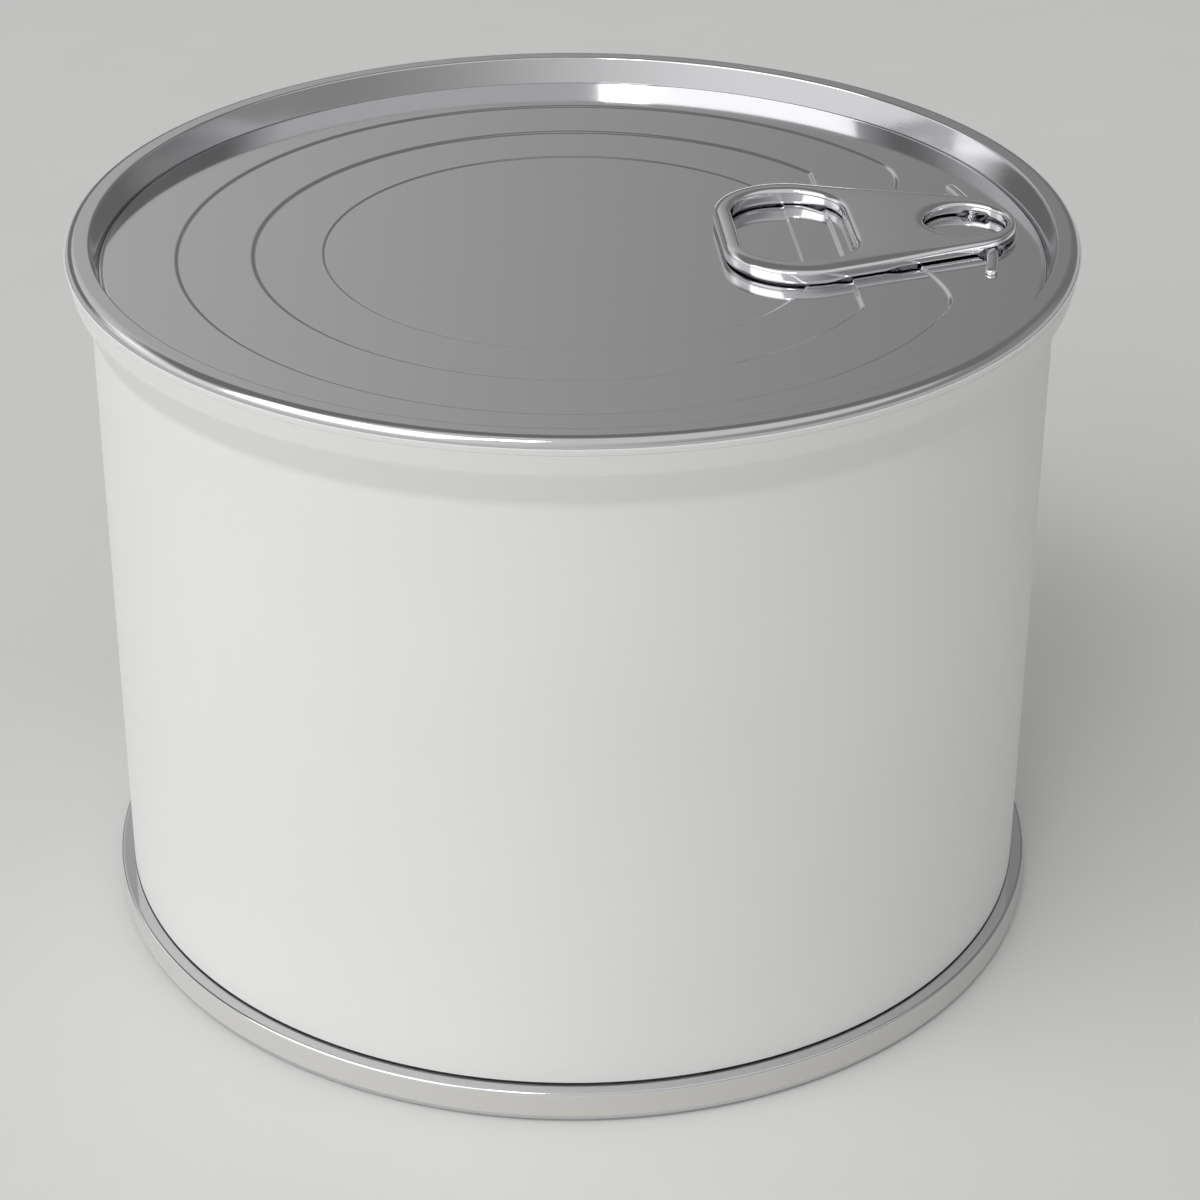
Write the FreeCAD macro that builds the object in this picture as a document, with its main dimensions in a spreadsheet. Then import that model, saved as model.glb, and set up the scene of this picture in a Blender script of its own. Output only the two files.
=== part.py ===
"""A squat ring-pull food can: tinplate body, two double-seamed ends, tear-off panel and pull tab.

Millimetres. The base stands on Z = 0 with the can's axis on Z, and the tab points along +X.
Every size is a cell of the sheet. LINES names the circles and levels that several pieces share,
so a piece that fits another takes its place from the same line.
"""
import FreeCAD, Part
import math
import os
import re

import Sketcher

doc = FreeCAD.newDocument("ring_pull_can")

SIZES = {
    # the can over its printed film
    "body_diameter": 83.0,
    "can_height": 64.2,
    "film": 0.15,
    "cone_depth": 6.40,
    "crease_depth": 3.20,
    # sheet metal and the double seams
    "body_sheet": 0.25,
    "end_sheet": 0.30,
    "seam_overhang": 2.10,
    "seam_height": 3.10,
    "seam_lean": 0.20,
    "foot_inset": 0.72,
    "seam_compound": 0.35,
    "fold_gap": 0.20,
    "rim_round": 0.80,
    "foot_rise": 0.45,
    "film_clearance": 0.07,
    # the recess in each end
    "end_depth": 2.30,
    "wall_draft": 0.65,
    "ledge_width": 1.00,
    "score_gap": 0.20,
    "base_bead_margin": 9.6,
    "base_bead_rise": 0.60,
    # the three steps pressed into the tear-off panel, each a circle with a flat side
    "step_slope": 66.0,
    "outer_step_margin": 6.2,
    "outer_flat_back": 8.15,
    "outer_step_corner": 7.0,
    "outer_step_drop": 0.16,
    "middle_step_margin": 6.5,
    "middle_flat_back": 7.5,
    "middle_step_corner": 0.5,
    "middle_step_drop": 0.18,
    "inner_step_margin": 6.1,
    "inner_flat_back": 3.6,
    "inner_step_corner": 0.5,
    "inner_step_drop": 0.10,
    # the pull tab, its nose towards the rim
    "tab_gap": 0.12,
    "tab_height": 1.05,
    "tab_web": 0.50,
    "tab_edge": 1.50,
    "web_round": 0.60,
    "tab_round": 0.50,
    "nose_margin": 1.85,
    "nose_radius": 5.85,
    "tab_reach": 26.4,
    "tab_corner": 6.5,
    "tab_half_width": 10.2,
    "hole_round": 0.30,
    "eye_radius": 3.6,
    "eye_land": 0.10,
    "ring_end": 1.50,
    "ring_side": 2.20,
    "finger_length": 9.8,
    "finger_corner": 4.5,
    # the two bars beside the nose
    "bar_back": 2.75,
    "bar_width": 1.07,
    "bar_height": 0.50,
    "bar_start": 5.8,
    "bar_end": 16.0,
    "notch_clearance": 0.15,
    # the lacquer stripe over the side weld
    "stripe_width": 9.0,
    "stripe_sheet": 0.08,
    "stripe_margin": 2.0,
}

# Radii of the folded layers, from the outside in, then the levels below (or above) each rim.
LINES = {
    "shell_out": "body_diameter / 2 - film",
    "shell_in": "shell_out - body_sheet",
    "seam_out": "body_diameter / 2 + seam_overhang - film",
    "cover_in": "seam_out - end_sheet",
    "body_hook_out": "cover_in - fold_gap",
    "body_hook_in": "body_hook_out - body_sheet",
    "end_hook_out": "body_hook_in - fold_gap",
    "end_hook_in": "end_hook_out - end_sheet",
    "neck_out": "end_hook_in - fold_gap",
    "neck_in": "neck_out - body_sheet",
    "chuck_out": "neck_in - fold_gap",
    "rim_in": "chuck_out - end_sheet",
    "wall_foot": "rim_in - wall_draft",
    "wall_foot_out": "wall_foot + end_sheet",
    "panel_radius": "wall_foot - score_gap",
    "ledge_in": "wall_foot - ledge_width",
    "fold_top": "end_sheet + seam_compound",
    "fold_under": "fold_top + body_sheet",
    "end_hook_tip": "fold_under + fold_gap",
    "curl_in": "seam_height - end_sheet",
    "body_hook_tip": "curl_in - fold_gap",
    "ledge_top": "end_depth + end_sheet",
    "ledge_under": "ledge_top + end_sheet",
    "outer_step_radius": "panel_radius - outer_step_margin",
    "middle_step_radius": "outer_step_radius - middle_step_margin",
    "inner_step_radius": "middle_step_radius - inner_step_margin",
    "outer_step_flat": "nose_tip - outer_flat_back",
    "middle_step_flat": "outer_step_flat - middle_flat_back",
    "inner_step_flat": "middle_step_flat - inner_flat_back",
    "base_bead_radius": "wall_foot - base_bead_margin",
    "foot_line": "seam_height + foot_rise",
    "film_foot": "foot_line + film_clearance",
    "panel_level": "can_height - end_depth",
    "nose_tip": "wall_foot - nose_margin",
    "nose_x": "nose_tip - nose_radius",
    "tab_back": "nose_tip - tab_reach",
    "corner_x": "tab_back + tab_corner",
    "corner_y": "tab_half_width - tab_corner",
    "side_angle": "atan2(corner_y; nose_x - corner_x)"
                  " + asin((tab_corner - nose_radius) / hypot(nose_x - corner_x; corner_y))",
    "eye_x": "nose_tip - tab_round - eye_land - hole_round - eye_radius",
    "bar_radius": "nose_tip - bar_back",
    "finger_x": "tab_back + ring_end",
    "finger_half": "tab_half_width - ring_side",
    "web_start": "finger_x + finger_length + ring_end + web_round",
    "web_end": "eye_x - eye_radius - tab_edge - web_round",
    "bar_inner": "bar_radius - bar_width / 2",
    "bar_outer": "bar_radius + bar_width / 2",
    "notch_back": "sqrt(bar_inner * bar_inner - nose_radius * nose_radius) - notch_clearance",
    "notch_front": "bar_outer + notch_clearance",
    "notch_top": "bar_height + notch_clearance - tab_gap",
}


def make_sheet():
    """Put every size in a cell with its own name."""
    cells = doc.addObject("Spreadsheet::Sheet", "Sizes")
    for row, (name, size) in enumerate(SIZES.items(), start=1):
        cells.set(f"A{row}", name)
        cells.set(f"B{row}", str(size))
        cells.setAlias(f"B{row}", name)
    doc.recompute()
    return cells


sheet = make_sheet()


def bound(text):
    """Spell out a formula: lines become their own formulas, sizes become cells of the sheet."""
    def spell(match):
        word = match.group(0)
        if word in LINES:
            return "(" + bound(LINES[word]) + ")"
        return "Sizes." + word if word in SIZES else word
    return re.sub(r"[a-z]+(?:_[a-z]+)*", spell, text)


def value(text):
    """The number that a formula gives now."""
    return float(sheet.evalExpression(bound(text)))


def new_body(name):
    """Start a sub-part, named as its file will be."""
    body = doc.addObject("PartDesign::Body", name)
    body.Label = name
    return body


def new_sketch(body, name, plane):
    """Start a sketch on one of the body's own origin planes."""
    sketch = body.newObject("Sketcher::SketchObject", name)
    faces = [item for item in body.Origin.OriginFeatures if item.Role == plane]
    sketch.AttachmentSupport = [(faces[0], "")]
    sketch.MapMode = "FlatFace"
    return sketch


def drive(sketch, kind, places, text):
    """Add one dimension to a sketch and bind it to a formula."""
    index = sketch.addConstraint(Sketcher.Constraint(kind, *places, value(text)))
    sketch.setExpression(f"Constraints[{index}]", bound(text))


def pin_point(sketch, geometry, point, across, along):
    """Hold a point at two formulas from the sketch's origin; the text 0 keeps it on an axis."""
    for kind, text, axis in (("DistanceX", across, -2), ("DistanceY", along, -1)):
        if text == "0":
            sketch.addConstraint(Sketcher.Constraint("PointOnObject", geometry, point, axis))
        else:
            drive(sketch, kind, (-1, 1, geometry, point), text)


def section(body, name, corners):
    """Sketch a closed outline of straight runs in the XZ plane from (radius, level) formulas."""
    sketch = new_sketch(body, name, "XZ_Plane")
    spots = [FreeCAD.Vector(value(across), value(along), 0) for across, along in corners]
    for here, there in zip(spots, spots[1:] + spots[:1]):
        sketch.addGeometry(Part.LineSegment(here, there))
    for index in range(len(corners)):
        before = (index - 1) % len(corners)
        sketch.addConstraint(Sketcher.Constraint("Coincident", before, 2, index, 1))
    for index, (across, along) in enumerate(corners):
        pin_point(sketch, index, 1, across, along)
    return sketch


def turned(body, name, corners, angle="360"):
    """Turn a section about the can's axis."""
    sketch = section(body, name + "_section", corners)
    turn = body.newObject("PartDesign::Revolution", name)
    turn.Profile = sketch
    turn.ReferenceAxis = (sketch, ["V_Axis"])
    turn.setExpression("Angle", bound(angle))
    doc.recompute()
    return turn


def tangent_foot(near, far):
    """Outward direction, in radians, where the belt leaves the near circle for the far one."""
    gap = math.hypot(far[0] - near[0], far[1] - near[1])
    heading = math.atan2(far[1] - near[1], far[0] - near[0])
    return heading - math.pi / 2 + math.asin((near[2] - far[2]) / gap)


def belt(body, name, circles):
    """Sketch a belt drawn tight around circles (x, y, radius), listed anticlockwise."""
    sketch = new_sketch(body, name, "XY_Plane")
    rings = [tuple(value(text) for text in ring) for ring in circles]
    count = len(rings)
    leave = [tangent_foot(rings[i], rings[(i + 1) % count]) for i in range(count)]
    for index, (x, y, radius) in enumerate(rings):
        full = Part.Circle(FreeCAD.Vector(x, y, 0), FreeCAD.Vector(0, 0, 1), radius)
        sketch.addGeometry(Part.ArcOfCircle(full, leave[index - 1], leave[index]))
    for index in range(count):
        ends = []
        for x, y, radius in (rings[index], rings[(index + 1) % count]):
            ends.append(FreeCAD.Vector(x + radius * math.cos(leave[index]),
                                       y + radius * math.sin(leave[index]), 0))
        sketch.addGeometry(Part.LineSegment(*ends))
    for index, (x, y, radius) in enumerate(circles):
        after = (index + 1) % count
        sketch.addConstraint(Sketcher.Constraint("Tangent", index, 2, count + index, 1))
        sketch.addConstraint(Sketcher.Constraint("Tangent", count + index, 2, after, 1))
        drive(sketch, "Radius", (index,), radius)
        pin_point(sketch, index, 3, x, y)
    return sketch


def flat_circle(body, name, radius, flat, corner):
    """Sketch a circle about the axis, cut by a flat towards +X and rounded where they meet."""
    sketch = new_sketch(body, name, "XY_Plane")
    big, cut, small = value(radius), value(flat), value(corner)
    corner_x = cut - small
    corner_y = math.sqrt((big - small) ** 2 - corner_x ** 2)
    turn = math.atan2(corner_y, corner_x)
    up = FreeCAD.Vector(0, 0, 1)
    around = Part.Circle(FreeCAD.Vector(0, 0, 0), up, big)
    upper = Part.Circle(FreeCAD.Vector(corner_x, corner_y, 0), up, small)
    lower = Part.Circle(FreeCAD.Vector(corner_x, -corner_y, 0), up, small)
    sketch.addGeometry(Part.ArcOfCircle(around, turn, 2 * math.pi - turn))
    sketch.addGeometry(Part.ArcOfCircle(lower, -turn, 0))
    sketch.addGeometry(Part.LineSegment(FreeCAD.Vector(cut, -corner_y, 0),
                                        FreeCAD.Vector(cut, corner_y, 0)))
    sketch.addGeometry(Part.ArcOfCircle(upper, 0, turn))
    for index in range(4):
        after = (index + 1) % 4
        sketch.addConstraint(Sketcher.Constraint("Tangent", index, 2, after, 1))
    sketch.addConstraint(Sketcher.Constraint("Coincident", 0, 3, -1, 1))
    sketch.addConstraint(Sketcher.Constraint("Vertical", 2))
    sketch.addConstraint(Sketcher.Constraint("Equal", 1, 3))
    drive(sketch, "Radius", (0,), radius)
    drive(sketch, "Radius", (1,), corner)
    drive(sketch, "DistanceX", (-1, 1, 2, 1), flat)
    return sketch


def lift(sketch, level):
    """Raise a sketch off its plane to a level given as a formula."""
    sketch.setExpression("AttachmentOffset.Base.z", bound(level))


def thicken(body, kind, name, sketch, length, down=False, slope=None):
    """Pad or pocket a sketch, up or down, with sides that lean in when a slope is given."""
    step = body.newObject("PartDesign::" + kind, name)
    step.Profile = sketch
    step.setExpression("Length", bound(length))
    step.Reversed = down
    if slope:
        step.setExpression("TaperAngle", bound(slope))
    doc.recompute()
    return step


def round_edges(body, name, base, edges, radius):
    """Round the listed edges of a feature."""
    fillet = body.newObject("PartDesign::Fillet", name)
    fillet.Base = (base, edges)
    fillet.setExpression("Radius", bound(radius))
    doc.recompute()
    return fillet


def hoops(shape, radius, level):
    """Names of the circular edges about the axis that have this radius at this level."""
    names = []
    for index, edge in enumerate(shape.Edges, start=1):
        curve = edge.Curve
        if not isinstance(curve, Part.Circle):
            continue
        same_size = abs(curve.Radius - value(radius)) < 1e-4
        if same_size and abs(curve.Center.z - value(level)) < 1e-4:
            names.append(f"Edge{index}")
    return names


def flat_face_edges(shape, level, outside):
    """Names of the edges round the flat face at a level: its outline, or else its holes."""
    for face in shape.Faces:
        box = face.BoundBox
        if abs(box.ZMin - value(level)) < 1e-5 and abs(box.ZMax - value(level)) < 1e-5:
            break
    chosen = [edge for wire in face.Wires if wire.isSame(face.OuterWire) == outside
              for edge in wire.Edges]
    return [f"Edge{index}" for index, edge in enumerate(shape.Edges, start=1)
            if any(edge.isSame(other) for other in chosen)]


def from_top(points):
    """Levels measured down from the top rim, turned into heights."""
    return [(radius, f"can_height - ({depth})") for radius, depth in points]


def leaning(points):
    """The top seam's corners, which lean in with depth as the wall of the recess does."""
    return [(f"{radius} - seam_lean * ({depth})", depth) for radius, depth in points]


def inset(points):
    """The bottom seam's corners, drawn in by the foot's inset; a point on the axis stays there."""
    return [(radius if radius == "0" else f"{radius} - foot_inset", level)
            for radius, level in points]


BODY_HOOK = [("body_hook_in", "body_hook_tip"), ("body_hook_out", "body_hook_tip"),
             ("body_hook_out", "fold_top"), ("neck_in", "fold_top")]
BODY_HOOK_BACK = [("neck_out", "fold_under"), ("body_hook_in", "fold_under")]
END_CURL = [("end_hook_in", "end_hook_tip"), ("end_hook_in", "seam_height"),
            ("seam_out", "seam_height"), ("seam_out", "0"), ("rim_in", "0")]
END_CURL_BACK = [("chuck_out", "end_sheet"), ("cover_in", "end_sheet"), ("cover_in", "curl_in"),
                 ("end_hook_out", "curl_in"), ("end_hook_out", "end_hook_tip")]


def make_body_shell():
    """Rolled tube whose two flared mouths are folded into the seams."""
    body = new_body("body_shell")
    corners = from_top(leaning(BODY_HOOK + [("neck_in", "seam_height")]))
    corners += from_top([("shell_in", "cone_depth")])
    corners += [("shell_in", "foot_line")] + inset([("neck_in", "seam_height")])
    corners += inset(BODY_HOOK[::-1])
    corners += inset(BODY_HOOK_BACK[::-1])
    corners += inset([("neck_out", "seam_height")]) + [("shell_out", "foot_line")]
    corners += from_top([("shell_out", "cone_depth")])
    corners += from_top(leaning([("neck_out", "seam_height")] + BODY_HOOK_BACK))
    turned(body, "shell", corners)
    return body


def make_film_sleeve():
    """White film, drawn over the top seam, down its cone and down the straight body."""
    body = new_body("film_sleeve")
    corners = from_top(leaning([("seam_out", "rim_round"), ("seam_out", "crease_depth")]))
    corners += from_top([("shell_out", "cone_depth")])
    corners += [("shell_out", "film_foot"), ("shell_out + film", "film_foot")]
    corners += from_top([("shell_out + film", "cone_depth")])
    corners += from_top(leaning([("seam_out + film", "crease_depth"),
                                 ("seam_out + film", "rim_round")]))
    turned(body, "film", corners)
    return body


def make_weld_stripe():
    """Lacquer stripe that covers the side weld inside, opposite the tab."""
    body = new_body("weld_stripe")
    top = "can_height - cone_depth - stripe_margin"
    corners = [("shell_in - stripe_sheet", "foot_line + stripe_margin"),
               ("shell_in", "foot_line + stripe_margin"),
               ("shell_in", top), ("shell_in - stripe_sheet", top)]
    turned(body, "stripe", corners, "stripe_width / shell_in * 180 / pi")
    body.setExpression("Placement.Rotation.Angle",
                       bound("180 - stripe_width / shell_in * 90 / pi"))
    return body


def round_rim(body, base, rim, under, shift):
    """Round the rim's outer shoulder, keeping the sheet one thickness through the bend."""
    edges = hoops(base.Shape, "seam_out" + shift[0], rim)
    outer = round_edges(body, "shoulder", base, edges, "rim_round")
    edges = hoops(outer.Shape, "cover_in" + shift[1], under)
    return round_edges(body, "shoulder_inside", outer, edges, "rim_round - end_sheet")


def make_bottom_end():
    """Bottom end: a pressed disc with one raised plateau, its edge curled round the body's."""
    body = new_body("bottom_end")
    inner = "base_bead_radius"
    slope = "base_bead_radius + 2 * base_bead_rise"
    corners = END_CURL + [("wall_foot", "end_depth"), (slope, "end_depth"),
                          (inner, "end_depth + base_bead_rise"),
                          ("0", "end_depth + base_bead_rise"),
                          ("0", "ledge_top + base_bead_rise"),
                          (inner, "ledge_top + base_bead_rise"), (slope, "ledge_top"),
                          ("wall_foot_out", "ledge_top")]
    corners += END_CURL_BACK
    base = turned(body, "disc", inset(corners))
    rounded = round_rim(body, base, "0", "end_sheet", (" - foot_inset", " - foot_inset"))
    edges = hoops(rounded.Shape, "seam_out - foot_inset", "seam_height")
    round_edges(body, "curl_shoulder", rounded, edges, "end_sheet * 0.9")
    return body


def make_lid_ring():
    """Seamed ring of the lid: what stays on the can, with the ledge that carries the panel."""
    body = new_body("lid_ring")
    corners = leaning(END_CURL)
    corners += [("wall_foot", "ledge_top"), ("ledge_in", "ledge_top"),
                ("ledge_in", "ledge_under"), ("wall_foot_out", "ledge_under")]
    corners += END_CURL_BACK[:1] + leaning(END_CURL_BACK[1:])
    base = turned(body, "ring", from_top(corners))
    round_rim(body, base, "can_height", "can_height - end_sheet",
              ("", " - seam_lean * end_sheet"))
    return body


def make_seal(name, at_top):
    """Sealing compound squeezed between an end and the fold of the body."""
    body = new_body(name)
    outside = "cover_in - rim_round + end_sheet - film_clearance - seam_lean * rim_round"
    corners = [("neck_in", "end_sheet"), (outside, "end_sheet"),
               (outside, "fold_top"), ("neck_in", "fold_top")]
    turned(body, name + "_ring", from_top(leaning(corners)) if at_top else inset(corners))
    return body


def make_lid_panel():
    """Tear-off panel: a disc with three steps, each a pressing that lowers what it encloses."""
    body = new_body("lid_panel")
    sketch = new_sketch(body, "panel_outline", "XY_Plane")
    whole = Part.Circle(FreeCAD.Vector(0, 0, 0), FreeCAD.Vector(0, 0, 1), value("panel_radius"))
    sketch.addGeometry(whole)
    sketch.addConstraint(Sketcher.Constraint("Coincident", 0, 3, -1, 1))
    drive(sketch, "Radius", (0,), "panel_radius")
    thicken(body, "Pad", "panel_disc", sketch, "end_sheet", down=True)
    level = "0"
    for step in ("outer", "middle", "inner"):
        sizes = [f"{step}_step_{part}" for part in ("radius", "flat", "corner")]
        drop = f"{step}_step_drop"
        below = flat_circle(body, step + "_underside", *sizes)
        lift(below, f"{level} - end_sheet")
        thicken(body, "Pad", step + "_swell", below, drop, down=True, slope="step_slope * -1")
        above = flat_circle(body, step + "_outline", *sizes)
        lift(above, level)
        thicken(body, "Pocket", step + "_press", above, drop, slope="step_slope * -1")
        level = f"{level} - {drop}"
    body.setExpression("Placement.Base.z", bound("panel_level"))
    return body


def make_pull_tab():
    """Pull tab: finger ring, web and nose in one pressing with rolled edges."""
    body = new_body("pull_tab")
    outline = belt(body, "tab_outline", [("nose_x", "0", "nose_radius"),
                                         ("corner_x", "corner_y", "tab_corner"),
                                         ("corner_x", "-corner_y", "tab_corner")])
    thicken(body, "Pad", "tab_blank", outline, "tab_height")

    near, far = "finger_x + finger_corner", "finger_x + finger_length - finger_corner"
    side = "finger_half - finger_corner"
    finger = belt(body, "finger_outline", [(far, side, "finger_corner"),
                                           (near, side, "finger_corner"),
                                           (near, f"-({side})", "finger_corner"),
                                           (far, f"-({side})", "finger_corner")])
    thicken(body, "Pocket", "finger_hole", finger, "tab_height", down=True)

    eye = new_sketch(body, "eye_outline", "XY_Plane")
    eye.addGeometry(Part.Circle(FreeCAD.Vector(value("eye_x"), 0, 0),
                                FreeCAD.Vector(0, 0, 1), value("eye_radius")))
    pin_point(eye, 0, 3, "eye_x", "0")
    drive(eye, "Radius", (0,), "eye_radius")
    last = thicken(body, "Pocket", "eye", eye, "tab_height", down=True)

    for name, level, outside, radius in (("rolled_top", "tab_height", True, "tab_round"),
                                         ("rolled_under", "0", True, "tab_round"),
                                         ("holes_top", "tab_height", False, "hole_round"),
                                         ("holes_under", "0", False, "hole_round")):
        edges = flat_face_edges(last.Shape, level, outside)
        last = round_edges(body, name, last, edges, radius)

    side = "(nose_radius - tab_edge - web_round - ({0} - nose_x) * sin(side_angle)) / cos(side_angle)"
    narrow, wide = side.format("web_end"), side.format("web_start")
    hollow = belt(body, "hollow_outline", [("web_end", narrow, "web_round"),
                                           ("web_start", wide, "web_round"),
                                           ("web_start", f"-({wide})", "web_round"),
                                           ("web_end", f"-({narrow})", "web_round")])
    thicken(body, "Pocket", "web_hollow", hollow, "tab_height - tab_web", down=True)

    notch = section(body, "notch_section", [("notch_back", "0"), ("notch_front", "0"),
                                            ("notch_front", "notch_top"),
                                            ("notch_back", "notch_top")])
    cut = thicken(body, "Pocket", "bar_notch", notch, "2 * nose_radius")
    cut.Midplane = True
    doc.recompute()
    body.setExpression("Placement.Base.z", bound("panel_level + tab_gap"))
    return body


def make_bar(name, turn):
    """Short flat bar on the panel beside the nose, curved along the rim."""
    body = new_body(name)
    corners = [("bar_inner", "0"), ("bar_outer", "0"),
               ("bar_outer", "bar_height"), ("bar_inner", "bar_height")]
    turned(body, name + "_bar", corners, "bar_end - bar_start")
    body.setExpression("Placement.Rotation.Angle", bound(turn))
    body.setExpression("Placement.Base.z", bound("panel_level"))
    return body


def all_pieces():
    """Make every piece of the can."""
    return [make_body_shell(), make_film_sleeve(), make_weld_stripe(), make_bottom_end(),
            make_lid_ring(), make_seal("top_seal", True), make_seal("bottom_seal", False),
            make_lid_panel(), make_pull_tab(),
            make_bar("nose_bar_left", "bar_start"), make_bar("nose_bar_right", "-bar_end")]


pieces = all_pieces()
doc.recompute()
for item in doc.Objects:
    if "Invalid" in item.State or "Error" in item.State:
        raise RuntimeError(f"{item.Label} did not compute: {item.State}")
for piece in pieces:
    if piece.Shape.isNull() or not piece.Shape.isValid() or len(piece.Shape.Solids) != 1:
        raise RuntimeError(f"{piece.Label} is not one valid solid")

os.makedirs("parts", exist_ok=True)
for piece in pieces:
    box = piece.Shape.BoundBox
    print(f"{piece.Label}: {piece.Shape.Volume:.1f} mm3, "
          f"x {box.XMin:.2f}..{box.XMax:.2f}, z {box.ZMin:.2f}..{box.ZMax:.2f}")
    piece.Shape.exportStep(f"parts/{piece.Label}.step")
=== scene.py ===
# %% [markdown]
# # A squat food can with a ring-pull lid
#
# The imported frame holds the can's true sizes and says which pieces move together. This script gives
# those pieces the smooth skins and finishes that they have in the hand: bright tinplate that was
# stamped and rolled, and a white matte film. It is written as a lesson, one small step per cell.

# %% Load the frame
import math

import bmesh
import bpy
import numpy as np
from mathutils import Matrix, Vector


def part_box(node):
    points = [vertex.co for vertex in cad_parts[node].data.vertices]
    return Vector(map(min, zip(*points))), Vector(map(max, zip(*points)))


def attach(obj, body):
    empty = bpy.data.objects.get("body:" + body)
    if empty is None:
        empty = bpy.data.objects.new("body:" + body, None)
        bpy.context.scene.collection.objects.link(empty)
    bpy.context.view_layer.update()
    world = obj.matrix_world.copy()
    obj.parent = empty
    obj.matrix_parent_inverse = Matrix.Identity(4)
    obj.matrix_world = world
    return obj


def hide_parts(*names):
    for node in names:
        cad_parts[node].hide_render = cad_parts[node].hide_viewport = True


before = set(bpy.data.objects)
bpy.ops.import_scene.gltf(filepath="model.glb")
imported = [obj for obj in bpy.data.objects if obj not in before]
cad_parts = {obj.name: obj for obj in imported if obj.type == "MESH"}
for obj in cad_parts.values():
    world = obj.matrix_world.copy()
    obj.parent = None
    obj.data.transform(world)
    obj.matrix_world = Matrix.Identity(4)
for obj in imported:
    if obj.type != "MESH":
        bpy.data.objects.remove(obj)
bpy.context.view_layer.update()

# %% [markdown]
# ## Sizes that several pieces share
#
# Blender works in metres, but a can maker thinks in millimetres, so lengths are written in
# millimetres and multiplied by `MM`. The main sizes are read off the frame's own boxes: how far out
# the seam reaches, how high the rim and the lid lie, where the tab begins and ends.
#
# The outer wall of the top seam leans in by `LEAN` for each millimetre below the rim, and starts
# under a rounded shoulder. The bottom seam is the same, upright and smaller by `INSET`.

# %% Read the sizes
MM = 0.001


def reach(node):
    """Lowest and highest corner of a node, in millimetres."""
    return tuple(np.array(corner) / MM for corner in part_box(node))


ring_low, ring_high = reach("lid_ring")
panel_low, panel_high = reach("lid_panel")
tab_low, tab_high = reach("pull_tab")
film_low, film_high = reach("film_sleeve")
end_low, end_high = reach("bottom_end")

RIM = ring_high[2]
SEAM_HEIGHT = RIM - ring_low[2]
FILM = 0.15
SHOULDER = 0.80
LEAN = 0.20
SEAM_R = film_high[1] - FILM + LEAN * SHOULDER
INSET = SEAM_R - end_high[1]
PANEL_R = panel_high[1]
PANEL_Z = panel_high[2]
print(f"rim at {RIM:.2f}, lid at {PANEL_Z:.2f}, seam {SEAM_R:.2f} and lid {PANEL_R:.2f} in radius")


def leaning(corners):
    """Corners (radius, depth, bend) of the top seam lean in with depth, as the recess wall does."""
    return [(across - LEAN * depth, depth, bend) for across, depth, bend in corners]


def hung(corners):
    """Depths below the rim as heights."""
    return [(across, RIM - depth, bend) for across, depth, bend in corners]


def drawn_in(corners):
    """The bottom seam is a little smaller; corners past the axis stay."""
    return [(across - INSET * (across > 0), height, bend) for across, height, bend in corners]

# %% [markdown]
# ## From a grid of points to a closed skin
#
# Every new piece here is a surface worked out as a grid: one direction runs along a profile, the
# other round the can or round the tab. A grid can be wrapped in either direction, which joins its
# last line to its first. Points that land on each other, as at the middle of a disc or where two
# sheets meet at an edge, are merged, and then the faces are turned to point outwards.

# %% Grid to mesh
SAME_SPOT = 0.0005  # mm


def grid_faces(rows, columns, wrap_rows, wrap_columns):
    """Corner numbers of the quads between neighbouring grid points, as one (count, 4) array."""
    row = np.arange(rows if wrap_rows else rows - 1)
    column = np.arange(columns if wrap_columns else columns - 1)
    row, column = (part.ravel() for part in np.meshgrid(row, column, indexing="ij"))
    below = (row + 1) % rows
    after = (column + 1) % columns
    return np.stack([row * columns + column, row * columns + after,
                     below * columns + after, below * columns + column], axis=1)


def make_piece(name, sheets, wrap_rows=False, wrap_columns=True):
    """One smooth closed object from grids of points in millimetres, doubles merged."""
    points, faces, start = [], [], 0
    for sheet in sheets:
        rows, columns = sheet.shape[:2]
        points.append(sheet.reshape(-1, 3) * MM)
        faces.append(grid_faces(rows, columns, wrap_rows, wrap_columns) + start)
        start += rows * columns
    mesh = bpy.data.meshes.new(name)
    mesh.from_pydata(np.concatenate(points).tolist(), [], np.concatenate(faces).tolist())
    shape = bmesh.new()
    shape.from_mesh(mesh)
    bmesh.ops.remove_doubles(shape, verts=shape.verts, dist=SAME_SPOT * MM)
    bmesh.ops.recalc_face_normals(shape, faces=shape.faces)
    for face in shape.faces:
        face.smooth = True
    loose = sum(1 for edge in shape.edges if not edge.is_manifold)
    shape.to_mesh(mesh)
    shape.free()
    piece = bpy.data.objects.new(name, mesh)
    bpy.context.collection.objects.link(piece)
    print(f"{name}: {len(mesh.polygons)} faces, {loose} open edges")
    return piece


# %% [markdown]
# ## Turned pieces
#
# The tube, both ends and the film are round about the can's axis, so each is a flat outline turned
# once round. Real sheet has no razor corners: it bends over a tool's radius. `bent_outline` takes
# the outline's corners with a bend radius for each, and puts an arc at every one. Two more points
# just past each arc keep the flat stretches flat under smooth shading.

# %% Outline with bends, and turning it
ARC_STEPS = 7
TURN_STEPS = 288


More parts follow.
